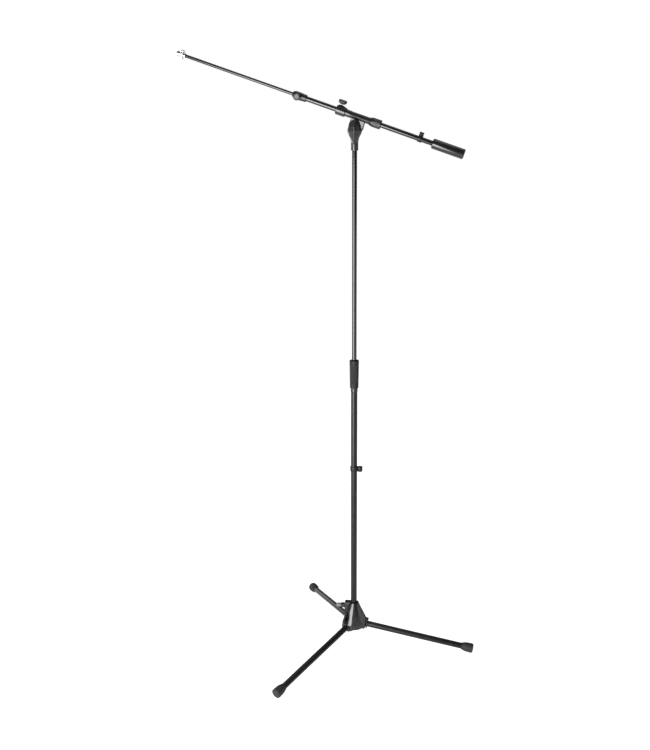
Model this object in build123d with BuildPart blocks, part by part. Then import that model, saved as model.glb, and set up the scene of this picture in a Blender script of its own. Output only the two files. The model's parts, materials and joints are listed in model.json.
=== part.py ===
from build123d import *
import os
from math import cos, radians, sin, tan

# Boom microphone stand. Millimetres, +Z up, origin on the mast axis at floor level.
# One leg points along +X, under the counterweight; the boom lies in the XZ plane and
# rises towards -X.

# Driving dimensions: tubes
LOWER_TUBE_R, LOWER_TUBE_BORE_R = 11.0, 9.5
UPPER_TUBE_R, UPPER_TUBE_BORE_R = 8.0, 6.8
ROD_R, ROD_BORE_R = 5.2, 4.2
LEG_TUBE_R, LEG_TUBE_BORE_R = 10.5, 9.0

# Driving dimensions: heights on the mast
HUB_BOTTOM_Z, HUB_TOP_Z = 72.0, 168.0
LOWER_TUBE_BOTTOM_Z, LOWER_TUBE_TOP_Z = 84.0, 1012.0
GRIP_BOTTOM_Z, GRIP_TOP_Z = 973.0, 1075.5
UPPER_TUBE_BOTTOM_Z, UPPER_TUBE_TOP_Z = 860.0, 1783.0
SWIVEL_BOTTOM_Z, HINGE_Z, BOOM_CROSS_Z = 1760.0, 1820.0, 1866.35
MAST_CLIP_Z = 685.0
LOCK_SCREW_Z = 152.5

# Driving dimensions: legs
LEG_ANGLES = (0.0, 120.0, 240.0)
LEG_APEX_Z, LEG_SLOPE = 92.2, 10.2
PIVOT_R, PIVOT_Z = 39.0, 101.0
LOBE_EDGE_Z, SLOT_FULL_Z, SLOT_TOP_Z, SOCKET_R = 102.5, 121.0, 160.0, 16.5
SLOT_START_R, HOLLOW_R, HOLLOW_MOUTH_R = 28.0, 24.5, 33.5
ROOT_FACE, ROOT_OUT, FOOT_START, FOOT_END = 47.0, 51.8, 397.0, 439.0
LOBE_HALF_WIDTH, SLOT_HALF_WIDTH, SLOT_TOP_HALF_WIDTH = 20.0, 7.5, 2.5
LOBE_FACET = 18.0
ROOT_HALF_WIDTH, SPIGOT_LENGTH, SPIGOT_BORE_R = 15.0, 40.0, 6.0

# Driving dimensions: boom, distances along it from the mast axis, + towards the tip
BOOM_TILT = 19.13
THREAD_R, THREAD_END, THREAD_START = 7.94, 602.7, 590.0
RING_FRONT, RING_REAR = 589.7, 581.5
ROD_CLUTCH_FRONT, ROD_CLUTCH_REAR, ROD_KNOB_AT = 208.0, 162.0, 190.0
FRONT_COLLAR_END, FRONT_COLLAR_START, LOCK_KNOB_AT = 61.6, 30.3, 49.0
REAR_COLLAR_START, REAR_COLLAR_END, REAR_COLLAR_R = -50.0, -88.5, 14.5
REAR_COLLAR_FLARE = 10.0
BOOM_CLIP_AT = -218.8
WEIGHT_FRONT, WEIGHT_REAR, WEIGHT_R = -259.4, -365.7, 16.0

# Fits
RUNNING = 0.06
GAP = 0.3
BOLT_R, SCREW_R, PIN_R = 4.0, 2.5, 2.5

ALONG = Vector(-cos(radians(BOOM_TILT)), 0, sin(radians(BOOM_TILT)))
ABOVE = Vector(sin(radians(BOOM_TILT)), 0, cos(radians(BOOM_TILT)))
SIDE = Vector(0, -1, 0)
BOOM_CROSS = Vector(0, 0, BOOM_CROSS_Z)
HINGE = Vector(0, 0, HINGE_Z)
HINGE_TO_BOOM = (BOOM_CROSS_Z - HINGE_Z) * cos(radians(BOOM_TILT))

os.makedirs("parts", exist_ok=True)


def save(piece, name):
    """Label a finished piece and write it as one STEP file."""
    piece.part.label = name
    export_step(piece.part, f"parts/{name}.step")


def mast_at(height):
    """Plane across the mast at a height."""
    return Plane.XY.offset(height)


def boom_at(distance):
    """Plane across the boom at a distance; its Y points up, away from the mast."""
    return Plane(origin=BOOM_CROSS + ALONG * distance, x_dir=SIDE, z_dir=ALONG)


def beside_boom(distance, direction, up):
    """Plane at the boom's axis whose normal is a radial direction of the boom."""
    return Plane(origin=BOOM_CROSS + ALONG * distance, x_dir=up, z_dir=direction)


def leg_frame(angle):
    """Origin, outward direction, upward normal and sideways direction of one leg."""
    turn, slope = radians(angle), radians(LEG_SLOPE)
    flat = Vector(cos(turn), sin(turn), 0)
    out = flat * cos(slope) - Vector(0, 0, sin(slope))
    up = flat * sin(slope) + Vector(0, 0, cos(slope))
    return Vector(0, 0, LEG_APEX_Z), out, up, out.cross(up)


def leg_at(angle, distance):
    """Plane across a leg at a distance from the mast axis along the leg."""
    start, out, up, side = leg_frame(angle)
    return Plane(origin=start + out * distance, x_dir=up, z_dir=out)


def leg_side(angle):
    """Upright plane along a leg: X outward along the leg, Y upward across it."""
    start, out, up, side = leg_frame(angle)
    return Plane(origin=start, x_dir=out, z_dir=side)


def turned(plane, outline):
    """Solid of revolution about a plane's normal; outline is (radius, distance) pairs."""
    half_plane = Plane(origin=plane.origin, x_dir=plane.x_dir, z_dir=-plane.y_dir)
    with BuildPart() as piece:
        with BuildSketch(half_plane):
            with BuildLine():
                Polyline(*outline, close=True)
            make_face()
        revolve(axis=Axis(plane.origin, plane.z_dir))
    return piece


def ring(plane, outer, inner, length, edge=0.0):
    """Tube or ring that starts at a plane, with both outer edges chamfered by edge."""
    outline = [(inner, 0), (outer - edge, 0), (outer, edge)]
    outline += [(outer, length - edge), (outer - edge, length), (inner, length)]
    if edge == 0:
        outline = [(inner, 0), (outer, 0), (outer, length), (inner, length)]
    return turned(plane, outline)


def thumb_knob(plane, radius, height, hole_r):
    """Round thumb knob with softened edges and a blind hole for its screw underneath."""
    edge = 2.0
    floor = height * 0.7
    return turned(
        plane,
        [
            (hole_r, 0), (radius - edge, 0), (radius, edge), (radius, height - edge),
            (radius - edge, height), (0, height), (0, floor), (hole_r, floor),
        ],
    )


# Base hub: cast shell with three flared, slotted lobes for the legs and a clamp boss
def lobe_section(height, front, front_half, flare_half):
    """Level section of a lobe: a flat front and two facets that turn back to its sides."""
    side_x = front - (flare_half - front_half) * tan(radians(LOBE_FACET))
    with BuildSketch(mast_at(height)) as section:
        with BuildLine():
            Polyline(
                (0, -flare_half), (side_x, -flare_half), (front, -front_half),
                (front, front_half), (side_x, flare_half), (0, flare_half), close=True,
            )
        make_face()
    return section.sketch


with BuildPart() as lobe:
    loft(
        [
            lobe_section(HUB_BOTTOM_Z, 43.8, SLOT_HALF_WIDTH, LOBE_HALF_WIDTH - 1.0),
            lobe_section(LOBE_EDGE_Z - 7, 48.1, SLOT_HALF_WIDTH, LOBE_HALF_WIDTH),
        ],
        ruled=True,
    )
    loft(
        [
            lobe_section(LOBE_EDGE_Z - 7, 48.1, SLOT_HALF_WIDTH, LOBE_HALF_WIDTH),
            lobe_section(LOBE_EDGE_Z, 45.5, SLOT_HALF_WIDTH, LOBE_HALF_WIDTH),
        ],
        ruled=True,
    )
    loft(
        [
            lobe_section(LOBE_EDGE_Z, 45.5, SLOT_HALF_WIDTH, LOBE_HALF_WIDTH),
            lobe_section(HUB_TOP_Z, 17.0, SLOT_TOP_HALF_WIDTH, 10.0),
        ],
        ruled=True,
    )
with BuildPart() as lobe_slot:
    with BuildSketch(Plane.YZ.offset(SLOT_START_R)):
        with BuildLine():
            Polyline(
                (-SLOT_HALF_WIDTH, HUB_BOTTOM_Z - 5), (SLOT_HALF_WIDTH, HUB_BOTTOM_Z - 5),
                (SLOT_HALF_WIDTH, SLOT_FULL_Z), (SLOT_TOP_HALF_WIDTH, SLOT_TOP_Z),
                (-SLOT_TOP_HALF_WIDTH, SLOT_TOP_Z), (-SLOT_HALF_WIDTH, SLOT_FULL_Z),
                close=True,
            )
        make_face()
    extrude(amount=30)

with BuildPart() as base_hub:
    with BuildSketch(Plane.XZ):
        with BuildLine():
            Polyline(
                (0, HUB_BOTTOM_Z), (36, HUB_BOTTOM_Z), (39, 75), (39.5, 84),
                (17, HUB_TOP_Z - 2), (15.5, HUB_TOP_Z), (0, HUB_TOP_Z), close=True,
            )
        make_face()
    revolve(axis=Axis.Z)
    for angle in LEG_ANGLES:
        add(lobe.part.rotate(Axis.Z, angle))
    with BuildSketch(Plane.XZ):
        with BuildLine():
            Polyline(
                (-8, 105), (-27, 112), (-33, 126), (-33, HUB_TOP_Z - 2),
                (-31, HUB_TOP_Z), (-8, HUB_TOP_Z), close=True,
            )
        make_face()
    extrude(amount=10.5, both=True)
    with BuildSketch(Plane.XZ):
        with BuildLine():
            Polyline(
                (SOCKET_R, HUB_BOTTOM_Z - 1), (HOLLOW_MOUTH_R, HUB_BOTTOM_Z - 1),
                (HOLLOW_MOUTH_R, 78), (HOLLOW_R, 86), (22, 126), (SOCKET_R, 126),
                close=True,
            )
        make_face()
    revolve(axis=Axis.Z, mode=Mode.SUBTRACT)
    for angle in LEG_ANGLES:
        add(lobe_slot.part.rotate(Axis.Z, angle), mode=Mode.SUBTRACT)
        with BuildSketch(Plane.XZ.rotated((0, 0, angle))):
            with Locations((PIVOT_R, PIVOT_Z)):
                Circle(PIN_R)
        extrude(amount=LOBE_HALF_WIDTH + 5, both=True, mode=Mode.SUBTRACT)
    with BuildSketch(mast_at(LOWER_TUBE_BOTTOM_Z)):
        Circle(LOWER_TUBE_R)
    extrude(amount=HUB_TOP_Z - LOWER_TUBE_BOTTOM_Z, mode=Mode.SUBTRACT)
    with BuildSketch(Plane.YZ):
        with Locations((0, LOCK_SCREW_Z)):
            Circle(3 + RUNNING)
    extrude(amount=-45, mode=Mode.SUBTRACT)
save(base_hub, "base_hub")

# Pivot pins: a flush roll pin through each pair of lobe cheeks, one node for the three
with BuildPart() as leg_pivot_pins:
    for angle in LEG_ANGLES:
        with BuildSketch(Plane.XZ.rotated((0, 0, angle))):
            with Locations((PIVOT_R, PIVOT_Z)):
                Circle(PIN_R)
        extrude(amount=LOBE_HALF_WIDTH - 0.5, both=True)
save(leg_pivot_pins, "leg_pivot_pins")

# Mast clamp in the hub: a shoe against the tube, and a screw with a collar and a knob
outward = Plane(origin=(0, 0, LOCK_SCREW_Z), x_dir=(0, 0, 1), z_dir=(-1, 0, 0))
save(ring(outward.offset(LOWER_TUBE_R + 0.1), 3.0, 0.0, 3.0), "hub_clamp_shoe")
save(ring(outward.offset(14.2), 3.0, 0.0, 46.0), "hub_lock_screw")
save(ring(outward.offset(33.4), 9.0, 3.0, 12.8, edge=1.2), "hub_lock_collar")
save(
    turned(
        outward.offset(46.2),
        [(3, 0), (7.3, 0), (7.3, 13), (5.8, 16.6), (4.2, 17.6), (0, 17.6), (0, 14), (3, 14)],
    ),
    "hub_lock_knob",
)

# Mast: lower tube with its foot plug, and the upper tube that slides and turns in it
save(
    ring(mast_at(LOWER_TUBE_BOTTOM_Z), LOWER_TUBE_R, LOWER_TUBE_BORE_R,
         LOWER_TUBE_TOP_Z - LOWER_TUBE_BOTTOM_Z),
    "lower_tube",
)
save(ring(mast_at(LOWER_TUBE_BOTTOM_Z), LOWER_TUBE_BORE_R, 0.0, 18.0), "lower_tube_plug")
save(
    ring(mast_at(UPPER_TUBE_BOTTOM_Z + 8), LOWER_TUBE_BORE_R - 0.08,
         UPPER_TUBE_R + RUNNING, 22.0),
    "mast_guide_bush",
)
save(
    ring(mast_at(UPPER_TUBE_BOTTOM_Z), UPPER_TUBE_R, UPPER_TUBE_BORE_R,
         UPPER_TUBE_TOP_Z - UPPER_TUBE_BOTTOM_Z),
    "upper_tube",
)
save(
    turned(
        mast_at(UPPER_TUBE_BOTTOM_Z - 3),
        [(0, 0), (9, 0), (9, 3), (UPPER_TUBE_BORE_R, 3), (UPPER_TUBE_BORE_R, 22), (0, 22)],
    ),
    "upper_tube_end_stop",
)
save(ring(mast_at(UPPER_TUBE_BOTTOM_Z + 31), 9.0, UPPER_TUBE_R, 2.5), "mast_retaining_ring")

# Mast clutch: threaded body on the lower tube, split collet, cone nut and rubber grip
CLUTCH_BODY_R = 12.0
save(
    turned(
        mast_at(0),
        [
            (LOWER_TUBE_R, 962), (CLUTCH_BODY_R - 0.6, 962), (CLUTCH_BODY_R, 963),
            (CLUTCH_BODY_R, 1040), (UPPER_TUBE_R + GAP, 1040),
            (UPPER_TUBE_R + GAP, LOWER_TUBE_TOP_Z), (LOWER_TUBE_R, LOWER_TUBE_TOP_Z),
        ],
    ),
    "clutch_body",
)
with BuildPart() as clutch_collet:
    with BuildSketch(Plane.XZ):
        with BuildLine():
            Polyline(
                (UPPER_TUBE_R + RUNNING, 1040), (11.2, 1040), (11.2, 1044), (9.3, 1063),
                (UPPER_TUBE_R + RUNNING, 1063), close=True,
            )
        make_face()
    revolve(axis=Axis.Z)
    with BuildSketch(mast_at(1046)):
        for angle in (45, 135):
            Rectangle(40, 1.6, rotation=angle)
    extrude(amount=20, mode=Mode.SUBTRACT)
save(clutch_collet, "clutch_collet")
save(
    turned(
        mast_at(0),
        [
            (CLUTCH_BODY_R + 0.08, 985), (13.6, 985), (13.6, 1072), (8.5, 1072),
            (8.5, 1065), (9.7, 1064), (11.7, 1044), (CLUTCH_BODY_R + 0.08, 1043),
        ],
    ),
    "clutch_cone_nut",
)
save(
    turned(
        mast_at(0),
        [
            (CLUTCH_BODY_R + GAP, GRIP_BOTTOM_Z), (13.6, GRIP_BOTTOM_Z), (14.6, 975),
            (14.6, 979), (15.9, 1064), (16.15, 1068), (16.15, 1073), (15.0, GRIP_TOP_Z),
            (8.6, GRIP_TOP_Z), (8.6, 1072), (13.6, 1072), (13.6, 985),
            (CLUTCH_BODY_R + GAP, 985),
        ],
    ),
    "clutch_grip",
)


def cable_clip(plane, tube_r, wall, length, hook_r, channel_r, mouth):
    """Snap clip: a split ring on a tube and a C-hook beside it, along the plane's X."""
    centre = tube_r + wall + hook_r - 1.2
    with BuildPart() as clip:
        with BuildSketch(plane):
            Circle(tube_r + wall)
            with Locations((centre, 0)):
                Circle(hook_r)
            with Locations((tube_r + wall, 0)):
                Rectangle(5, 9)
            with Locations((centre, 0)):
                Circle(channel_r, mode=Mode.SUBTRACT)
                with Locations(Location((0, 0, 0), (0, 0, mouth))):
                    with Locations((hook_r, 0)):
                        Rectangle(2 * hook_r - 2, 6.4, mode=Mode.SUBTRACT)
            Circle(tube_r + RUNNING, mode=Mode.SUBTRACT)
            with Locations((-tube_r, 0)):
                Rectangle(2 * wall + 2, 2.5, mode=Mode.SUBTRACT)
        extrude(amount=length / 2, both=True)
    return clip


# Snap-on cable clips, one on the mast and one on the boom behind the swivel
save(cable_clip(mast_at(MAST_CLIP_Z), LOWER_TUBE_R, 2.4, 21.0, 8.9, 5.8, 0), "mast_cable_clip")
clip_plane = Plane(origin=BOOM_CROSS + ALONG * BOOM_CLIP_AT, x_dir=ABOVE, z_dir=ALONG)
save(cable_clip(clip_plane, UPPER_TUBE_R, 2.4, 14.0, 8.6, 5.6, 90), "boom_cable_clip")

# Legs: cast root with its pivot eye and stop flange, tube and rubber foot
for number, angle in enumerate(LEG_ANGLES, start=1):
    start, out, up, side = leg_frame(angle)
    slope = radians(LEG_SLOPE)
    pivot = (
        PIVOT_R * cos(slope) + (LEG_APEX_Z - PIVOT_Z) * sin(slope),
        PIVOT_R * sin(slope) + (PIVOT_Z - LEG_APEX_Z) * cos(slope),
    )
    with BuildPart() as leg_root:
        with BuildSketch(leg_side(angle)):
            with Locations(pivot):
                Circle(6.5)
            with BuildLine():
                Polyline(
                    (pivot[0], pivot[1] + 6.5), (ROOT_FACE - 1, 20.5), (ROOT_OUT, 20.5),
                    (ROOT_OUT, -8), (ROOT_FACE - 5, -8), (pivot[0] - 5.5, pivot[1] - 3.5),
                    close=True,
                )
            make_face()
        extrude(amount=SLOT_HALF_WIDTH - GAP, both=True)
        with BuildSketch(leg_side(angle)):
            with Locations(((ROOT_FACE + ROOT_OUT) / 2, 0)):
                Rectangle(ROOT_OUT - ROOT_FACE, 2 * LEG_TUBE_R)
        extrude(amount=ROOT_HALF_WIDTH, both=True)
        with BuildSketch(leg_at(angle, ROOT_OUT)):
            Circle(LEG_TUBE_BORE_R)
        extrude(amount=SPIGOT_LENGTH)
        with BuildSketch(leg_at(angle, ROOT_OUT + 4)):
            Circle(SPIGOT_BORE_R)
        extrude(amount=SPIGOT_LENGTH, mode=Mode.SUBTRACT)
        with BuildSketch(leg_side(angle)):
            with Locations(pivot):
                Circle(PIN_R + RUNNING)
        extrude(amount=20, both=True, mode=Mode.SUBTRACT)
    save(leg_root, f"leg_root_{number}")
    save(
        ring(leg_at(angle, ROOT_OUT), LEG_TUBE_R, LEG_TUBE_BORE_R, FOOT_END - 7 - ROOT_OUT),
        f"leg_tube_{number}",
    )
    with BuildPart() as foot:
        with BuildSketch(Plane(origin=start, x_dir=up, z_dir=-side)):
            with BuildLine():
                Polyline(
                    (0, FOOT_END - 7), (LEG_TUBE_R, FOOT_END - 7), (LEG_TUBE_R, FOOT_START),
                    (12.0, FOOT_START), (12.6, FOOT_START + 1), (14.6, 410), (16.2, 423),
                    (17.0, 433), (16.2, 437), (13.2, FOOT_END), (0, FOOT_END), close=True,
                )
            make_face()
        revolve(axis=Axis(start, out))
        split(bisect_by=Plane.XY, keep=Keep.TOP)
    save(foot, f"foot_{number}")

# Swivel fork on the upper tube, with the hinge bolt, two friction washers and wing knob
CHEEK_R, WEB_HALF_THICKNESS, WEB_EDGE_R = 22.0, 4.5, 3.0
with BuildPart() as swivel_fork:
    with BuildSketch(mast_at(SWIVEL_BOTTOM_Z)):
        Circle(11.75)
    extrude(amount=30)
    fillet(swivel_fork.edges().sort_by(Axis.Z)[0], 1.0)
    for side in (1, -1):
        with BuildSketch(Plane.XZ.offset(side * 6)):
            with BuildLine():
                Polyline((-10, 1784), (10, 1784), (13.5, 1799), (20.5, 1812),
                         (-20.5, 1812), (-13.5, 1799), close=True)
            make_face()
            with Locations((0, HINGE_Z)):
                Circle(CHEEK_R)
        extrude(amount=side * 5)
    with BuildSketch(Plane.XZ):
        with BuildLine():
            Polyline((-9.2, 1784), (9.2, 1784), (10.6, 1791), (-10.6, 1791), close=True)
        make_face()
    extrude(amount=6, both=True)
    with BuildSketch(mast_at(SWIVEL_BOTTOM_Z)):
        Circle(UPPER_TUBE_R)
    extrude(amount=UPPER_TUBE_TOP_Z - SWIVEL_BOTTOM_Z, mode=Mode.SUBTRACT)
    with BuildSketch(Plane.XZ):
        with Locations((0, HINGE_Z)):
            Circle(BOLT_R)
    extrude(amount=20, both=True, mode=Mode.SUBTRACT)
save(swivel_fork, "swivel_fork")

bolt_axis = Plane(origin=HINGE, x_dir=(1, 0, 0), z_dir=(0, -1, 0))
with BuildPart() as swivel_bolt:
    with BuildSketch(bolt_axis.offset(-16)):
        RegularPolygon(7, 6)
    extrude(amount=5)
    with BuildSketch(bolt_axis.offset(-11)):
        Circle(BOLT_R)
    extrude(amount=42)
save(swivel_bolt, "swivel_bolt")
with BuildPart() as friction_washers:
    for start_at in (-6.0, 4.8):
        with BuildSketch(bolt_axis.offset(start_at)):
            Circle(10)
            Circle(BOLT_R, mode=Mode.SUBTRACT)
        extrude(amount=1.2)
save(friction_washers, "friction_washers")
with BuildPart() as swivel_knob:
    with BuildSketch(bolt_axis.offset(15.6)):
        with Locations((0, -2)):
            Ellipse(19.5, 35.5)
    extrude(amount=22)
    fillet(swivel_knob.edges().sort_by(Axis.Y)[0], 8)
    fillet(swivel_knob.edges().sort_by(Axis.Y)[-1], 4)
    with BuildSketch(bolt_axis.offset(11.4)):
        Circle(9)
    extrude(amount=6)
    with BuildSketch(bolt_axis.offset(11.4)):
        Circle(BOLT_R + RUNNING)
    extrude(amount=20.5, mode=Mode.SUBTRACT)
save(swivel_knob, "swivel_knob")

# Boom tee: sleeve for the boom tube on a web plate that hinges in the fork
SLEEVE_R, SLEEVE_STEP_UP, BUSH_R, SLEEVE_BORE_R = 10.6, 0.7, 9.2, 8.6
SLEEVE_FRONT, SLEEVE_STEP, SLEEVE_REAR, BUSH_LENGTH = 58.0, 12.0, -86.5, 6.0
web_plane = Plane(origin=HINGE, x_dir=-ALONG, z_dir=SIDE)
with BuildPart() as boom_tee:
    with BuildSketch(web_plane) as web_outline:
        with BuildLine():
            Polyline((-23, HINGE_TO_BOOM - 4), (23, HINGE_TO_BOOM - 4), (24.5, 13),
                     (18, -6), (8, -17), (-8, -17), (-18, -6), (-24.5, 13), close=True)
        make_face()
        fillet(web_outline.vertices().sort_by(Axis.Z)[:6], 5.0)
    extrude(amount=WEB_HALF_THICKNESS, both=True)
    fillet(boom_tee.faces().sort_by(Axis.Y)[0].edges(), WEB_EDGE_R)
    fillet(boom_tee.faces().sort_by(Axis.Y)[-1].edges(), WEB_EDGE_R)
    with BuildSketch(boom_at(SLEEVE_REAR)):
        Circle(SLEEVE_R)
    extrude(amount=SLEEVE_FRONT - SLEEVE_REAR)
    with BuildSketch(boom_at(SLEEVE_STEP)):
        Circle(SLEEVE_R + SLEEVE_STEP_UP)
    extrude(amount=FRONT_COLLAR_START - SLEEVE_STEP)
    with BuildSketch(boom_at(SLEEVE_REAR)):
        Circle(SLEEVE_BORE_R)
    extrude(amount=SLEEVE_FRONT - SLEEVE_REAR, mode=Mode.SUBTRACT)
    for bush_start in (SLEEVE_REAR, SLEEVE_FRONT - BUSH_LENGTH):
        with BuildSketch(boom_at(bush_start)):
            Circle(BUSH_R)
        extrude(amount=BUSH_LENGTH, mode=Mode.SUBTRACT)
    with BuildSketch(web_plane):
        Circle(BOLT_R + RUNNING)
    extrude(amount=10, both=True, mode=Mode.SUBTRACT)
    with BuildSketch(beside_boom(LOCK_KNOB_AT, ABOVE, ALONG)):
        Circle(SCREW_R + 0.1)
    extrude(amount=20, mode=Mode.SUBTRACT)
save(boom_tee, "boom_tee")

with BuildPart() as boom_bushes:
    for bush_start in (SLEEVE_REAR, SLEEVE_FRONT - BUSH_LENGTH):
        with BuildSketch(boom_at(bush_start + 0.15)):
            Circle(BUSH_R - RUNNING)
            Circle(UPPER_TUBE_R + RUNNING, mode=Mode.SUBTRACT)
        extrude(amount=BUSH_LENGTH - 0.3)
save(boom_bushes, "boom_bushes")

with BuildPart() as front_collar:
    with BuildSketch(boom_at(FRONT_COLLAR_START)):
        Circle(14.8)
    extrude(amount=FRONT_COLLAR_END - FRONT_COLLAR_START)
    fillet(front_collar.edges().filter_by(GeomType.CIRCLE), 1.5)
    boss_plane = Plane(origin=BOOM_CROSS, x_dir=ALONG, z_dir=-SIDE)
    with BuildSketch(boss_plane):
        with BuildLine():
            Polyline((60, 4), (60, 12), (56, 17.5), (43, 17.5), (23, 10), (23, 4), close=True)
        make_face()
    extrude(amount=6.5, both=True)
    with BuildSketch(boom_at(0)):
        Circle(SLEEVE_R)
    extrude(amount=SLEEVE_FRONT, mode=Mode.SUBTRACT)
    with BuildSketch(boom_at(0)):
        Circle(SLEEVE_R + SLEEVE_STEP_UP)
    extrude(amount=FRONT_COLLAR_START, mode=Mode.SUBTRACT)
    with BuildSketch(boom_at(0)):
        Circle(UPPER_TUBE_R + 0.4)
    extrude(amount=80, mode=Mode.SUBTRACT)
    with BuildSketch(beside_boom(LOCK_KNOB_AT, ABOVE, ALONG)):
        Circle(SCREW_R + RUNNING)
    extrude(amount=20, mode=Mode.SUBTRACT)
save(front_collar, "front_collar")

rear_length = REAR_COLLAR_START - REAR_COLLAR_END
rear_step = SLEEVE_REAR - REAR_COLLAR_END
save(
    turned(
        boom_at(REAR_COLLAR_END),
        [
            (UPPER_TUBE_R + 0.4, 0), (REAR_COLLAR_R - 1.5, 0), (REAR_COLLAR_R, 1.5),
            (REAR_COLLAR_R, rear_length - REAR_COLLAR_FLARE), (SLEEVE_R + 0.8, rear_length),
            (SLEEVE_R, rear_length), (SLEEVE_R, rear_step), (UPPER_TUBE_R + 0.4, rear_step),
        ],
    ),
    "rear_collar",
)

# Boom lock: shoe, screw and thumb knob on top of the front collar
lock_up = beside_boom(LOCK_KNOB_AT, ABOVE, ALONG)
save(ring(lock_up.offset(UPPER_TUBE_R + 0.15), SCREW_R, 0.0, 2.8), "boom_lock_shoe")
save(ring(lock_up.offset(11.1), SCREW_R, 0.0, 19.0), "boom_lock_screw")
save(thumb_knob(lock_up.offset(20.5), 13.3, 13.8, SCREW_R), "boom_lock_knob")

# Boom tube, its end plug, and the clutch that holds the rod at its front end
TUBE_FRONT, TUBE_REAR = 205.0, -363.0
rod_lock_out = (SIDE * cos(radians(8)) - ABOVE * sin(radians(8))).normalized()
rod_lock = beside_boom(ROD_KNOB_AT, rod_lock_out, ALONG)
with BuildPart() as boom_tube:
    with BuildSketch(boom_at(TUBE_REAR)):
        Circle(UPPER_TUBE_R)
        Circle(UPPER_TUBE_BORE_R, mode=Mode.SUBTRACT)
    extrude(amount=TUBE_FRONT - TUBE_REAR)
    with BuildSketch(rod_lock):
        Circle(SCREW_R + 0.1)
    extrude(amount=20, mode=Mode.SUBTRACT)
save(boom_tube, "boom_tube")
save(
    turned(
        boom_at(TUBE_REAR - 2),
        [(0, 0), (7.2, 0), (8, 0.8), (8, 2), (UPPER_TUBE_BORE_R, 2), (UPPER_TUBE_BORE_R, 16), (0, 16)],
    ),
    "boom_end_plug",
)
with BuildPart() as rod_bush:
    with BuildSketch(boom_at(TUBE_FRONT - 22)):
        Circle(UPPER_TUBE_BORE_R)
        Circle(ROD_R + RUNNING, mode=Mode.SUBTRACT)
    extrude(amount=22)
    with BuildSketch(rod_lock):
        Circle(SCREW_R + 0.1)
    extrude(amount=20, mode=Mode.SUBTRACT)
save(rod_bush, "rod_bush")
with BuildPart() as rod_clutch_body:
    with BuildSketch(Plane(origin=BOOM_CROSS, x_dir=ABOVE, z_dir=SIDE)):
        with BuildLine():
            Polyline(
                (UPPER_TUBE_R, ROD_CLUTCH_REAR), (10.4, ROD_CLUTCH_REAR), (11.4, 163),
                (11.8, 176), (12.6, 181), (12.6, 199), (9.4, 207), (8.4, ROD_CLUTCH_FRONT),
                (ROD_R + GAP, ROD_CLUTCH_FRONT), (ROD_R + GAP, TUBE_FRONT),
                (UPPER_TUBE_R, TUBE_FRONT), close=True,
            )
        make_face()
    revolve(axis=Axis(BOOM_CROSS, ALONG))
    with BuildSketch(rod_lock.offset(9.5)):
        Circle(7.5)
    extrude(amount=7.5)
    with BuildSketch(boom_at(ROD_CLUTCH_REAR)):
        Circle(UPPER_TUBE_R)
    extrude(amount=TUBE_FRONT - ROD_CLUTCH_REAR, mode=Mode.SUBTRACT)
    with BuildSketch(rod_lock):
        Circle(SCREW_R + RUNNING)
    extrude(amount=30, mode=Mode.SUBTRACT)
save(rod_clutch_body, "rod_clutch_body")
save(ring(rod_lock.offset(ROD_R + 0.15), 2.3, 0.0, 1.5), "rod_lock_shoe")
save(ring(rod_lock.offset(ROD_R + 1.75), SCREW_R, 0.0, 18.0), "rod_lock_screw")
save(thumb_knob(rod_lock.offset(17.5), 11.6, 11.0, SCREW_R), "rod_lock_knob")

# Extension rod with its guide bush and end stop inside the boom tube
ROD_INNER_END, ROD_OUTER_END = 66.0, 594.0
save(ring(boom_at(ROD_INNER_END), ROD_R, ROD_BORE_R, ROD_OUTER_END - ROD_INNER_END), "boom_rod")
save(
    ring(boom_at(ROD_INNER_END + 4), UPPER_TUBE_BORE_R - 0.08, ROD_R + RUNNING, 18.0),
    "rod_guide_bush",
)
save(
    turned(
        boom_at(ROD_INNER_END - 3),
        [(0, 0), (6.4, 0), (6.4, 3), (ROD_BORE_R, 3), (ROD_BORE_R, 18), (0, 18)],
    ),
    "rod_end_stop",
)

# Microphone thread on the rod, with a knurled lock ring behind it
NECK_R = 7.5
save(
    turned(
        boom_at(0),
        [
            (ROD_R, 574), (7.4, 574), (8.2, 575), (8.2, RING_REAR - GAP),
            (NECK_R, RING_REAR - GAP), (NECK_R, THREAD_START), (THREAD_R, THREAD_START),
            (THREAD_R, THREAD_END - 1), (THREAD_R - 1, THREAD_END), (0, THREAD_END),
            (0, ROD_OUTER_END), (ROD_R, ROD_OUTER_END),
        ],
    ),
    "mic_thread_adapter",
)
with BuildPart() as lock_ring:
    with BuildSketch(boom_at(RING_REAR)):
        Circle(15)
        Circle(NECK_R + RUNNING, mode=Mode.SUBTRACT)
    extrude(amount=RING_FRONT - RING_REAR)
    chamfer(lock_ring.edges().filter_by(GeomType.CIRCLE).group_by(SortBy.RADIUS)[-1], 1.0)
save(lock_ring, "lock_ring")

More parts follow.
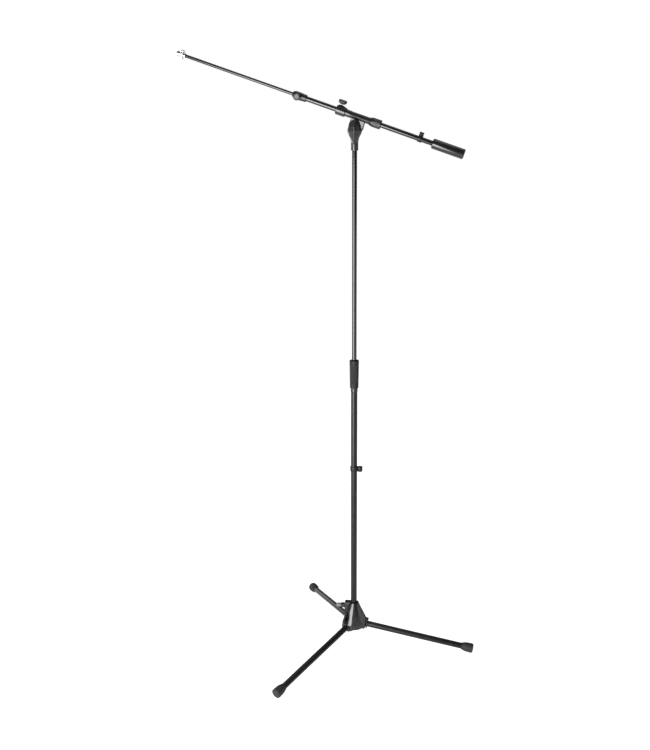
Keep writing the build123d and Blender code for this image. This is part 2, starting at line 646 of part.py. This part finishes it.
# Counterweight on the boom's rear end, with its set screw from below
set_down = beside_boom((WEIGHT_FRONT + WEIGHT_REAR) / 2, ABOVE * -1, ALONG)
with BuildPart() as counterweight:
    with BuildSketch(boom_at(WEIGHT_REAR)):
        Circle(WEIGHT_R)
    extrude(amount=WEIGHT_FRONT - WEIGHT_REAR)
    chamfer(counterweight.edges().filter_by(GeomType.CIRCLE), 2.5)
    with BuildSketch(boom_at(WEIGHT_REAR)):
        Circle(UPPER_TUBE_R + 0.1)
    extrude(amount=WEIGHT_FRONT - WEIGHT_REAR, mode=Mode.SUBTRACT)
    with BuildSketch(set_down):
        Circle(3)
    extrude(amount=WEIGHT_R + 1, mode=Mode.SUBTRACT)
save(counterweight, "counterweight")
with BuildPart() as weight_set_screw:
    with BuildSketch(set_down.offset(UPPER_TUBE_R + GAP)):
        Circle(3)
    extrude(amount=6)
    with BuildSketch(set_down.offset(UPPER_TUBE_R + GAP + 6)):
        RegularPolygon(1.7, 6)
    extrude(amount=-3, mode=Mode.SUBTRACT)
save(weight_set_screw, "weight_set_screw")
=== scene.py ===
import json
import math

import bmesh
import bpy
from mathutils import Matrix, Vector


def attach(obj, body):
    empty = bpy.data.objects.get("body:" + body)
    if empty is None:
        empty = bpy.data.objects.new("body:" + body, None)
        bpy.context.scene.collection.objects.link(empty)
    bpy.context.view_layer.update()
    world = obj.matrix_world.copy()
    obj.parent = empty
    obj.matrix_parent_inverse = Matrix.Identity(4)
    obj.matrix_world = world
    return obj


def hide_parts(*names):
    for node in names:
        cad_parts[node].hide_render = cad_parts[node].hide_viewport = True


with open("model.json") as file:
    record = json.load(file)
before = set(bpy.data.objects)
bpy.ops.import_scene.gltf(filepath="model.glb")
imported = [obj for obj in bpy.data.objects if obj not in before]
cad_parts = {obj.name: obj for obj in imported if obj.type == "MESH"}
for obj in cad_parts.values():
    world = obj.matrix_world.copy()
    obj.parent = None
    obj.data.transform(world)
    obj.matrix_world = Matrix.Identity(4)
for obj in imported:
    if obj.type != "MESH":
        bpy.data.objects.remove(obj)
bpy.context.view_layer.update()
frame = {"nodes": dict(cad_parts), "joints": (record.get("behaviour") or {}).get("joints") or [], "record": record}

# ---------------------------------------------------------------- places, from the frame
JOINT = {j["name"]: j for j in frame["joints"]}
BODY_OF = {n: b for b, ns in frame["record"]["behaviour"]["bodies"].items() for n in ns}
SLOT_OF = {s["node"]: s["material_slot"] for s in frame["record"]["subparts"]}
MM = 0.001
UP = Vector((0, 0, 1))
ORIGIN = Vector((0, 0, 0))
ALONG = Vector(JOINT["boom_slide"]["axis"]).normalized()
ABOVE = Vector(JOINT["boom_lock_turn"]["axis"]).normalized()
BOOM = Vector(JOINT["boom_roll"]["pos_m"])
HINGE = Vector(JOINT["boom_tilt"]["pos_m"])


def points_of(node):
    return [v.co.copy() for v in frame["nodes"][node].data.vertices]


def measure(node, origin, axis):
    """Start and end of a CAD node along an axis, and its largest distance from it."""
    far = [p - origin for p in points_of(node)]
    along = [p.dot(axis) for p in far]
    radius = max((p - axis * p.dot(axis)).length for p in far)
    return min(along), max(along), radius


# ---------------------------------------------------------------- materials
def shader(name, colour, roughness, metallic=0.0, shine=0.5):
    """A named material with its Principled shader, and an object-space coordinate."""
    mat = bpy.data.materials.new(name)
    mat.use_nodes = True
    tree = mat.node_tree
    bsdf = tree.nodes["Principled BSDF"]
    bsdf.inputs["Base Color"].default_value = (*colour, 1)
    bsdf.inputs["Roughness"].default_value = roughness
    bsdf.inputs["Metallic"].default_value = metallic
    bsdf.inputs["Specular IOR Level"].default_value = shine
    coords = tree.nodes.new("ShaderNodeTexCoord").outputs["Object"]
    return mat, tree, bsdf, coords


def noise(tree, coords, scale, detail=4.0, rough=0.55):
    """Noise at a scale in features per metre."""
    node = tree.nodes.new("ShaderNodeTexNoise")
    node.inputs["Scale"].default_value = scale
    node.inputs["Detail"].default_value = detail
    node.inputs["Roughness"].default_value = rough
    tree.links.new(coords, node.inputs["Vector"])
    return node.outputs["Fac"]


def spread(tree, value, low, high):
    """The noise value mapped to a range."""
    node = tree.nodes.new("ShaderNodeMapRange")
    node.inputs["From Min"].default_value = 0.3
    node.inputs["From Max"].default_value = 0.7
    node.inputs["To Min"].default_value = low
    node.inputs["To Max"].default_value = high
    tree.links.new(value, node.inputs["Value"])
    return node.outputs["Result"]


def tint(tree, bsdf, value, dark, light):
    """Base colour that varies between two colours with a noise value."""
    ramp = tree.nodes.new("ShaderNodeValToRGB")
    ramp.color_ramp.elements[0].position = 0.3
    ramp.color_ramp.elements[1].position = 0.7
    ramp.color_ramp.elements[0].color = (*dark, 1)
    ramp.color_ramp.elements[1].color = (*light, 1)
    tree.links.new(value, ramp.inputs["Fac"])
    tree.links.new(ramp.outputs["Color"], bsdf.inputs["Base Color"])


def bump(tree, bsdf, layers):
    """Stack bump layers, each a (height value, strength, distance in metres)."""
    previous = None
    for height, strength, distance in layers:
        node = tree.nodes.new("ShaderNodeBump")
        node.inputs["Strength"].default_value = strength
        node.inputs["Distance"].default_value = distance
        tree.links.new(height, node.inputs["Height"])
        if previous is not None:
            tree.links.new(previous, node.inputs["Normal"])
        previous = node.outputs["Normal"]
    tree.links.new(previous, bsdf.inputs["Normal"])


def painted(name, colour, roughness, grain, grain_depth, shine=0.5):
    """Painted or powder-coated metal: fine grain, slow waves and uneven gloss."""
    mat, tree, bsdf, coords = shader(name, colour, roughness, shine=shine)
    slow = noise(tree, coords, 60, 3)
    fine = noise(tree, coords, grain, 3)
    light = [c * 1.25 + 0.001 for c in colour]
    tint(tree, bsdf, slow, [c * 0.85 for c in colour], light)
    gloss = spread(tree, slow, roughness * 0.88, roughness * 1.15)
    tree.links.new(gloss, bsdf.inputs["Roughness"])
    bump(tree, bsdf, [(slow, grain_depth * 0.2, 0.0004), (fine, grain_depth, 0.0002)])
    return mat


def moulded(name, colour, roughness, grain=1400, depth=0.35, shine=0.5):
    """Moulded plastic or rubber with a fine spark-eroded grain."""
    mat, tree, bsdf, coords = shader(name, colour, roughness, shine=shine)
    slow = noise(tree, coords, 90, 4)
    fine = noise(tree, coords, grain, 5, 0.7)
    tint(tree, bsdf, slow, [c * 0.8 for c in colour], [c * 1.2 for c in colour])
    gloss = spread(tree, fine, roughness * 0.9, min(1, roughness * 1.1))
    tree.links.new(gloss, bsdf.inputs["Roughness"])
    bump(tree, bsdf, [(fine, depth, 0.0003)])
    return mat


def bare_metal(name, colour, roughness):
    """Plated or turned steel with a fine machined grain."""
    mat, tree, bsdf, coords = shader(name, colour, roughness, metallic=1.0)
    grain = noise(tree, coords, 900, 3, 0.6)
    slow = noise(tree, coords, 120, 3)
    light = [min(1, c * 1.1) for c in colour]
    tint(tree, bsdf, slow, [c * 0.8 for c in colour], light)
    gloss = spread(tree, grain, roughness * 0.75, roughness * 1.3)
    tree.links.new(gloss, bsdf.inputs["Roughness"])
    bump(tree, bsdf, [(grain, 0.15, 0.0001)])
    return mat


MATERIALS = {
    "cast_black": painted("cast_black", (0.005, 0.005, 0.0055), 0.25, 800, 0.10, 0.42),
    "tube_satin": painted("tube_satin", (0.004, 0.004, 0.0044), 0.33, 2200, 0.12, 0.22),
    "tube_gloss": painted("tube_gloss", (0.002, 0.002, 0.0023), 0.14, 900, 0.01, 0.40),
    "rubber_grey": moulded("rubber_grey", (0.013, 0.013, 0.0135), 0.66, 1100, 0.4, 0.25),
    "grip_rubber": moulded("grip_rubber", (0.007, 0.007, 0.0073), 0.56, 1600, 0.4, 0.20),
    "knob_plastic": moulded("knob_plastic", (0.012, 0.012, 0.0125), 0.40, 1300, 0.3, 0.35),
    # lever_plastic is black plastic given a mid-grey base colour: the grey is a painted reflection of the light on
    # the hub clamp knob, not the plastic's own colour
    "lever_plastic": moulded("lever_plastic", (0.09, 0.09, 0.093), 0.5, 1300, 0.3),
    "collar_plastic": painted("collar_plastic", (0.005, 0.005, 0.0055), 0.32, 1200, 0.1, 0.35),
    "nylon_black": moulded("nylon_black", (0.004, 0.004, 0.0042), 0.42, 1500, 0.2, 0.22),
    "steel_bright": bare_metal("steel_bright", (0.55, 0.55, 0.56), 0.28),
    "chrome_thread": bare_metal("chrome_thread", (0.60, 0.60, 0.62), 0.18),
    "weight_black": painted("weight_black", (0.005, 0.005, 0.0055), 0.15, 1000, 0.03, 0.40),
}


# ---------------------------------------------------------------- making pieces
def finish_piece(obj, body, slot_name, nodes, angle=32):
    """Smooth shading with sharp creases, then material, slot, body and replaced nodes."""
    for face in obj.data.polygons:
        face.use_smooth = True
    obj.data.set_sharp_from_angle(angle=math.radians(angle))
    obj.data.materials.clear()
    obj.data.materials.append(MATERIALS[slot_name])
    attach(obj, body)
    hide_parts(*nodes)
    return obj


def mesh_object(name, verts, faces):
    mesh = bpy.data.meshes.new(name)
    mesh.from_pydata([tuple(v) for v in verts], [], faces)
    work = bmesh.new()
    work.from_mesh(mesh)
    bmesh.ops.remove_doubles(work, verts=work.verts, dist=1e-7)
    bmesh.ops.recalc_face_normals(work, faces=work.faces)
    work.to_mesh(mesh)
    work.free()
    obj = bpy.data.objects.new(name, mesh)
    bpy.context.scene.collection.objects.link(obj)
    return obj


def rounded(outline, radii, steps=4):
    """The outline with its corners rounded: a closed list of (radius, distance) pairs."""
    result = []
    count = len(outline)
    for i, corner in enumerate(outline):
        here = Vector(corner)
        before, after = Vector(outline[i - 1]), Vector(outline[(i + 1) % count])
        reach = radii[i] if isinstance(radii, (list, tuple)) else radii
        reach = min(reach, (before - here).length * 0.45, (after - here).length * 0.45)
        if reach <= 1e-7:
            result.append(here)
            continue
        first = here + (before - here).normalized() * reach
        last = here + (after - here).normalized() * reach
        for step in range(steps + 1):
            t = step / steps
            result.append(first * (1 - t) ** 2 + here * (2 * t * (1 - t)) + last * t * t)
    return result


def side_of(axis):
    """Any direction across an axis."""
    other = Vector((0, 1, 0)) if abs(axis.y) < 0.9 else UP
    return axis.cross(other).normalized()


def lathe(name, origin, axis, outline, segments=72, relief=None):
    """Closed outline of (radius, distance) pairs, in metres, turned about an axis.

    relief(turn, radius, distance) gives a change of radius, for flutes and threads."""
    across = side_of(axis)
    third = axis.cross(across)
    verts, faces = [], []
    rows = len(outline)
    for k in range(segments):
        turn = 2 * math.pi * k / segments
        out = across * math.cos(turn) + third * math.sin(turn)
        for radius, distance in outline:
            change = relief(turn, radius, distance) if relief else 0
            verts.append(origin + out * max(radius + change, 0) + axis * distance)
    for k in range(segments):
        here, there = k * rows, (k + 1) % segments * rows
        for i in range(rows):
            j = (i + 1) % rows
            faces.append((here + i, here + j, there + j, there + i))
    return mesh_object(name, verts, faces)


def divided(outline, step):
    """The closed outline with its long stretches cut to at most a step."""
    result = []
    for i, point in enumerate(outline):
        here, after = Vector(point), Vector(outline[(i + 1) % len(outline)])
        parts = max(1, math.ceil((after - here).length / step))
        result += [here.lerp(after, k / parts) for k in range(parts)]
    return result


def flutes(count, depth, inner, low, high, fade=1.0 * MM):
    """Relief of round grooves along the axis, outside a radius and between two distances."""
    def relief(turn, radius, distance):
        if radius < inner or not low < distance < high:
            return 0
        ends = min(1, (distance - low) / fade, (high - distance) / fade)
        return -depth * ends * max(0, math.cos(count * turn)) ** 1.5
    return relief


def helix(pitch, depth, inner, low, high):
    """Relief of a right-handed V thread between two distances."""
    def relief(turn, radius, distance):
        if radius < inner or not low < distance < high:
            return 0
        wave = (distance / pitch - turn / (2 * math.pi)) % 1
        ends = min(1, (distance - low) / pitch, (high - distance) / pitch)
        return -depth * ends * abs(2 * wave - 1)
    return relief


def tube(node, origin, axis, bore):
    """A detailed tube in place of a CAD tube, with rounded rims."""
    low, high, radius = measure(node, origin, axis)
    rim = 0.5 * MM
    outline = rounded([(bore, low), (radius, low), (radius, high), (bore, high)], rim)
    piece = lathe(node + "_skin", origin, axis, outline)
    return finish_piece(piece, BODY_OF[node], SLOT_OF[node], [node])


def softened(node, width, segments=3, angle=28):
    """A copy of a CAD node with its edges rounded, in place of the node."""
    source = frame["nodes"][node]
    obj = bpy.data.objects.new(node + "_cast", source.data.copy())
    bpy.context.scene.collection.objects.link(obj)
    work = bmesh.new()
    work.from_mesh(obj.data)
    bmesh.ops.remove_doubles(work, verts=work.verts, dist=2e-6)
    bmesh.ops.dissolve_limit(
        work, angle_limit=math.radians(1.0), verts=work.verts, edges=work.edges
    )
    edges = [
        e for e in work.edges
        if len(e.link_faces) == 2 and e.calc_face_angle(0) > math.radians(angle)
    ]
    bmesh.ops.bevel(
        work, geom=edges, offset=width, segments=segments, profile=0.5,
        affect="EDGES", clamp_overlap=True,
    )
    bmesh.ops.triangulate(work, faces=[f for f in work.faces if len(f.verts) > 4])
    bmesh.ops.recalc_face_normals(work, faces=work.faces)
    work.to_mesh(obj.data)
    work.free()
    return finish_piece(obj, BODY_OF[node], SLOT_OF[node], [node], angle=24)


# ---------------------------------------------------------------- the stand
def skin(node, origin, axis, outline, segments=72, relief=None, angle=32):
    """A lathed piece in place of a CAD node, on its body and with its slot."""
    piece = lathe(node + "_detail", origin, axis, outline, segments, relief)
    return finish_piece(piece, BODY_OF[node], SLOT_OF[node], [node], angle)


def leg_line(number):
    """A point on a leg's axis and its outward direction, from its tube's two end rings."""
    ends = points_of(f"leg_tube_{number}")
    ends.sort(key=lambda p: p.xy.length)
    half = len(ends) // 2
    inner = sum(ends[:half], Vector()) / half
    outer = sum(ends[-half:], Vector()) / half
    return inner, (outer - inner).normalized()


def knob(node, origin, axis, count, depth, dish, hole):
    """Round thumb knob: fluted rim, softened edges, dished face and a hole for its screw."""
    low, high, radius = measure(node, origin, axis)
    height = high - low
    floor = low + height * 0.7
    outline = [
        (hole, low), (radius * 0.52, low), (radius * 0.66, low + height * 0.10),
        (radius, low + height * 0.26), (radius, high - height * 0.14), (radius * 0.76, high),
        (radius * 0.6, high - dish), (0, high - dish), (0, floor), (hole, floor),
    ]
    soft = [0, 0.8, 1.5, 3.2, 3.2, 2.0, 0.8, 0, 0, 0]
    outline = divided(rounded(outline, [r * MM for r in soft]), 1.2 * MM)
    relief = flutes(count, depth, radius * 0.8, low, high, height * 0.12)
    return skin(node, origin, axis, outline, count * 12, relief, 40)


def screw(node, origin, axis, pitch):
    """Machine screw with a fine thread and chamfered ends."""
    low, high, radius = measure(node, origin, axis)
    edge = pitch * 0.6
    outline = [(0, low), (radius - edge, low), (radius, low + edge)]
    outline += [(radius, high - edge), (radius - edge, high), (0, high)]
    outline = divided(outline, pitch / 6)
    relief = helix(pitch, pitch * 0.55, radius * 0.9, low + edge, high - edge)
    return skin(node, origin, axis, outline, 32, relief, 60)


def collar(node, origin, axis, bore, edge, count=0, depth=0.0, angle=32):
    """Ring of a node's size with rounded edges and, if asked, ribs round its rim."""
    low, high, radius = measure(node, origin, axis)
    outline = [(bore, low), (radius, low), (radius, high), (bore, high)]
    outline = divided(rounded(outline, [0, edge, edge, 0], 5), 1.5 * MM)
    relief = flutes(count, depth, radius * 0.9, low, high, edge * 1.5) if count else None
    return skin(node, origin, axis, outline, max(96, count * 8), relief, angle)


for node, obj in frame["nodes"].items():
    obj.data.materials.clear()
    obj.data.materials.append(MATERIALS[SLOT_OF[node]])

# Tubes
tube("lower_tube", ORIGIN, UP, 9.5 * MM)
tube("upper_tube", ORIGIN, UP, 6.8 * MM)
tube("boom_rod", BOOM, ALONG, 4.2 * MM)

# Castings and clips, with their edges rounded
cast = {}
for node, width in {
    "base_hub": 1.3, "swivel_fork": 1.0, "boom_tee": 0.8, "front_collar": 0.7,
    "rod_clutch_body": 0.7, "counterweight": 0.5, "mast_cable_clip": 0.6,
    "boom_cable_clip": 0.5, "swivel_bolt": 0.4,
    "leg_root_1": 0.9, "leg_root_2": 0.9, "leg_root_3": 0.9,
}.items():
    cast[node] = softened(node, width * MM)

# The mast clip is a little lower than its CAD node, and the boom clip's hook less deep
MAST_CLIP_SHARE, HOOK_CUT, HOOK_FROM = 0.78, 0.3, 10.4 * MM
low, high, radius = measure("mast_cable_clip", ORIGIN, UP)
for vertex in cast["mast_cable_clip"].data.vertices:
    vertex.co.z = low + (vertex.co.z - low) * MAST_CLIP_SHARE
for vertex in cast["boom_cable_clip"].data.vertices:
    past = (vertex.co - BOOM).dot(ABOVE) - HOOK_FROM
    vertex.co -= ABOVE * max(past, 0) * HOOK_CUT

# Legs: tube and rubber foot
for number in (1, 2, 3):
    inner, out = leg_line(number)
    tube(f"leg_tube_{number}", inner, out, 9 * MM)
    node = f"foot_{number}"
    low, high, radius = measure(node, inner, out)
    bore = measure(f"leg_tube_{number}", inner, out)[2]
    end = high - low
    shape = [
        (0, low + end * 0.83), (bore, low + end * 0.83), (bore, low), (bore + 1.4 * MM, low),
        (bore + 2.3 * MM, low + 1.5 * MM), (bore + 2.0 * MM, low + 4.5 * MM),
        (radius * 0.91, low + end * 0.26), (radius * 0.98, low + end * 0.56),
        (radius, low + end * 0.84), (radius * 0.97, low + end * 0.90),
        (radius, low + end * 0.94), (radius * 0.80, high), (0, high),
    ]
    soft = [0, 0, 0.3, 0.5, 1, 1, 4, 4, 1, 0.6, 1.6, 2, 0]
    foot = lathe(node + "_rubber", inner, out, rounded(shape, [r * MM for r in soft]), 96)
    work = bmesh.new()
    work.from_mesh(foot.data)
    cut = bmesh.ops.bisect_plane(
        work, geom=work.verts[:] + work.edges[:] + work.faces[:], dist=1e-7,
        plane_co=(0, 0, 0), plane_no=(0, 0, 1), clear_inner=True,
    )
    bmesh.ops.holes_fill(work, edges=[e for e in work.edges if e.is_boundary])
    bmesh.ops.recalc_face_normals(work, faces=work.faces)
    work.to_mesh(foot.data)
    work.free()
    finish_piece(foot, BODY_OF[node], SLOT_OF[node], [node], 40)

# Hub clamp: collar and knurled knob on the side screw
CLAMP = Vector(JOINT["hub_lock_turn"]["pos_m"])
CLAMP_OUT = Vector(JOINT["hub_lock_turn"]["axis"]).normalized()
collar("hub_lock_collar", CLAMP, CLAMP_OUT, 3 * MM, 1.5 * MM)
low, high, radius = measure("hub_lock_knob", CLAMP, CLAMP_OUT)
neck = 3 * MM
outline = [
    (neck, low), (radius * 0.9, low), (radius, low + 2 * MM), (radius, low + 12 * MM),
    (radius * 0.8, high - 1.2 * MM), (radius * 0.5, high), (0, high),
    (0, high - 3.6 * MM), (neck, high - 3.6 * MM),
]
outline = divided(rounded(outline, [r * MM for r in (0, 0.6, 1, 3, 1.2, 1, 0, 0, 0)]), 0.8 * MM)
grooves = flutes(14, 0.7 * MM, radius * 0.8, low + 1.5 * MM, low + 13 * MM, 1.5 * MM)
# The knob's grey tone comes from its lever_plastic material, a painted reflection on black plastic
skin("hub_lock_knob", CLAMP, CLAMP_OUT, outline, 168, grooves, 40)

# Mast clutch grip: fine ribs between two plain bands
low, high, radius = measure("clutch_grip", ORIGIN, UP)
low, high = low + 2.5 * MM, high - 3 * MM
waist = radius - 1.40 * MM
outline = [
    (12.3 * MM, low), (waist - 1.2 * MM, low), (waist, low + 1.6 * MM), (waist, low + 7 * MM),
    (waist - 0.6 * MM, low + 7.8 * MM), (waist, low + 8.6 * MM),
    (radius - 0.25 * MM, high - 11.5 * MM), (radius - 0.85 * MM, high - 10.6 * MM),
    (radius - 0.15 * MM, high - 9.8 * MM), (radius, high - 6.5 * MM),
    (radius, high - 2 * MM), (radius - 1.4 * MM, high), (8.6 * MM, high),
    (8.6 * MM, high - 0.5 * MM), (13.6 * MM, high - 0.5 * MM), (13.6 * MM, low + 9.5 * MM),
    (12.3 * MM, low + 9.5 * MM),
]
outline = divided(rounded(outline, 0.5 * MM, 3), 3 * MM)
ribs = flutes(40, 0.55 * MM, 14.0 * MM, low + 10 * MM, high - 13 * MM, 2.5 * MM)
skin("clutch_grip", ORIGIN, UP, outline, 320, ribs, 50)

# Swivel: wing knob, made of level sections
KNOB_OUT = Vector(JOINT["wing_knob_turn"]["axis"]).normalized()
cad = [p - HINGE for p in points_of("swivel_knob")]
reach_x = max(abs(p.x) for p in cad)
bottom_z, top_z = min(p.z for p in cad), max(p.z for p in cad)
hub_from, front = min(p.dot(KNOB_OUT) for p in cad), max(p.dot(KNOB_OUT) for p in cad)
back = hub_from + 4.2 * MM


def through(points, t):
    """Smooth value at t through a few (t, value) points."""
    for (t0, a), (t1, b) in zip(points, points[1:]):
        if t <= t1:
            u = (t - t0) / (t1 - t0)
            return a + (b - a) * u * u * (3 - 2 * u) * 0.35 + (b - a) * u * 0.65
    return points[-1][1]


# Share of the full width and of the full depth, from the bottom of the wing (0) to its top (1)
HALF_WIDTH = [
    (0, 0.24), (0.12, 0.40), (0.34, 0.76), (0.56, 1.0), (0.74, 0.92), (0.90, 0.66), (1, 0.42),
]
DEPTH = [(0, 0.42), (0.2, 0.62), (0.5, 1.0), (0.72, 0.95), (0.92, 0.66), (1, 0.5)]
RIDGE = 0.12
levels, around = 56, 72
verts, faces = [], []
for row in range(levels + 1):
    t = row / levels
    end_soft = min(1, (t / 0.03 + 0.02) ** 0.5, ((1 - t) / 0.03 + 0.02) ** 0.5)
    half = reach_x * through(HALF_WIDTH, t) * (0.86 + 0.14 * end_soft)
    depth = (front - back) * through(DEPTH, t) * (0.6 + 0.4 * end_soft)
    z = bottom_z + (top_z - bottom_z) * t
    for k in range(around):
        turn = 2 * math.pi * k / around
        u, rise = math.cos(turn), math.sin(turn)
        off = (u - RIDGE) / (1 - RIDGE if u > RIDGE else 1 + RIDGE)
        crest = 1 - 0.74 * abs(off) ** 1.15
        right = ((off - 0.52) / 0.2) ** 2 + ((t - 0.52) / 0.24) ** 2
        left = ((off + 0.5) / 0.3) ** 2 + ((t - 0.5) / 0.3) ** 2
        scoop = 0.17 * math.exp(-right) + 0.05 * math.exp(-left)
        if rise >= 0:
            y = depth * (crest - scoop) * rise ** 0.35
        else:
            y = -min(back - hub_from, 3.2 * MM) * (-rise) ** 0.35
        x = half * math.copysign(abs(u) ** 0.9, u)
        verts.append(HINGE + Vector((x, 0, z)) + KNOB_OUT * (back + y))
for row in range(levels):
    for k in range(around):
        here, after = row * around + k, row * around + (k + 1) % around
        faces.append((here, after, after + around, here + around))
faces.append(tuple(range(around)))
faces.append(tuple(levels * around + k for k in reversed(range(around))))
wing = mesh_object("swivel_knob_wing", verts, faces)
finish_piece(wing, BODY_OF["swivel_knob"], SLOT_OF["swivel_knob"], ["swivel_knob"], 50)

# Swivel head: ribbed rear collar, and the boom lock
low, high, radius = measure("rear_collar", BOOM, ALONG)
flare, sleeve = high - 10 * MM, 10.65 * MM
outline = [
    (8.4 * MM, low), (radius, low), (radius, flare), (sleeve + 0.7 * MM, high), (sleeve, high),
    (sleeve, low + 2 * MM), (8.4 * MM, low + 2 * MM),
]
outline = divided(rounded(outline, [r * MM for r in (0, 1.8, 3, 0.3, 0, 0, 0)]), 1.5 * MM)
ribs = flutes(26, 0.4 * MM, radius * 0.9, low + 3 * MM, flare - 2 * MM, 3 * MM)
skin("rear_collar", BOOM, ALONG, outline, 208, ribs, 45)
LOCK = Vector(JOINT["boom_lock_turn"]["pos_m"])
knob("boom_lock_knob", LOCK, ABOVE, 16, 0.6 * MM, 1.2 * MM, 2.5 * MM)
screw("boom_lock_screw", LOCK, ABOVE, 0.8 * MM)

# Boom: tube, rod clutch, thread and ring
tube("boom_tube", BOOM, ALONG, 6.8 * MM)
ROD_LOCK = Vector(JOINT["rod_lock_turn"]["pos_m"])
ROD_LOCK_OUT = Vector(JOINT["rod_lock_turn"]["axis"]).normalized()
knob("rod_lock_knob", ROD_LOCK, ROD_LOCK_OUT, 14, 0.5 * MM, 1.0 * MM, 2.5 * MM)
screw("rod_lock_screw", ROD_LOCK, ROD_LOCK_OUT, 0.8 * MM)

THREAD_PITCH = 25.4 / 27 * MM
low, high, radius = measure("mic_thread_adapter", BOOM, ALONG)
ring_low, ring_high, ring_radius = measure("lock_ring", BOOM, ALONG)
collar("lock_ring", BOOM, ALONG, 7.56 * MM, 1.1 * MM, 44, 0.7 * MM, angle=50)
neck, thread, rod = 7.5 * MM, 7.94 * MM, 5.2 * MM
start, tip = ring_high + 0.3 * MM, high
stop = ring_low - 0.3 * MM
outline = [
    (rod, low), (7.4 * MM, low), (radius, low + 1 * MM), (radius, stop), (neck, stop),
    (neck, start), (thread - 0.4 * MM, start), (thread, start + 0.4 * MM),
    (thread, tip - 1 * MM), (thread - 1 * MM, tip), (4.6 * MM, tip), (4 * MM, tip - 1.4 * MM),
    (0, tip - 1.8 * MM), (0, high - 8.7 * MM), (rod, high - 8.7 * MM),
]
outline = divided(outline, THREAD_PITCH / 8)
cut = helix(THREAD_PITCH, THREAD_PITCH * 0.6, thread * 0.97, start + 0.4 * MM, tip - 0.6 * MM)
skin("mic_thread_adapter", BOOM, ALONG, outline, 96, cut, 60)

# ---------------------------------------------------------------- floor, light, camera
bpy.ops.mesh.primitive_plane_add(size=60)
floor = bpy.context.object
floor.name = "floor"
floor_mat, _, floor_bsdf, _ = shader("floor", (0.5, 0.5, 0.5), 0.9)
floor_bsdf.inputs["Emission Color"].default_value = (1, 1, 1, 1)
floor_bsdf.inputs["Emission Strength"].default_value = 0.92
floor.data.materials.append(floor_mat)


def softbox(name, place, target, width, height, power):
    lamp = bpy.data.lights.new(name, "AREA")
    lamp.shape = "RECTANGLE"
    lamp.size, lamp.size_y = width, height
    lamp.energy = power
    obj = bpy.data.objects.new(name, lamp)
    bpy.context.scene.collection.objects.link(obj)
    obj.location = place
    obj.rotation_euler = (Vector(target) - Vector(place)).to_track_quat("-Z", "Y").to_euler()


# Name, place, target, width, height and power in watts
softbox("front_left", (-1.01, -2.50, 1.0), (0, 0, 1.0), 1.75, 2.0, 200)
softbox("top_soft", (0.4, 0.6, 4.2), (0, 0, 0.8), 2.4, 2.4, 25)
softbox("rim_back_left", (-2.4, 2.2, 1.4), (0, 0, 1.0), 1.2, 2.6, 32)

world = bpy.data.worlds.new("studio")
world.use_nodes = True
tree = world.node_tree
seen = tree.nodes["Background"]
seen.inputs["Color"].default_value = (1, 1, 1, 1)
seen.inputs["Strength"].default_value = 1.0
room = tree.nodes.new("ShaderNodeBackground")
room.inputs["Color"].default_value = (1, 1, 1, 1)
room.inputs["Strength"].default_value = 0.15
path = tree.nodes.new("ShaderNodeLightPath")
mix = tree.nodes.new("ShaderNodeMixShader")
tree.links.new(path.outputs["Is Camera Ray"], mix.inputs["Fac"])
tree.links.new(room.outputs["Background"], mix.inputs[1])
tree.links.new(seen.outputs["Background"], mix.inputs[2])
tree.links.new(mix.outputs["Shader"], tree.nodes["World Output"].inputs["Surface"])
bpy.context.scene.world = world
bpy.context.scene.view_settings.view_transform = "Standard"

camera_data = bpy.data.cameras.new("camera")
camera_data.sensor_fit = "AUTO"
camera_data.sensor_width = 36
camera_data.lens = 43.96
camera = bpy.data.objects.new("camera", camera_data)
bpy.context.scene.collection.objects.link(camera)
CAMERA_AT = Vector((0.3656, -2.9776, 1.8286))
HEADING, PITCH, ROLL = (math.radians(degrees) for degrees in (8.891, 15.069, -0.40))
turn = Matrix.Rotation(HEADING, 4, "Z") @ Matrix.Rotation(math.pi / 2 - PITCH, 4, "X")
camera.matrix_world = Matrix.Translation(CAMERA_AT) @ turn @ Matrix.Rotation(ROLL, 4, "Z")
bpy.context.scene.camera = camera
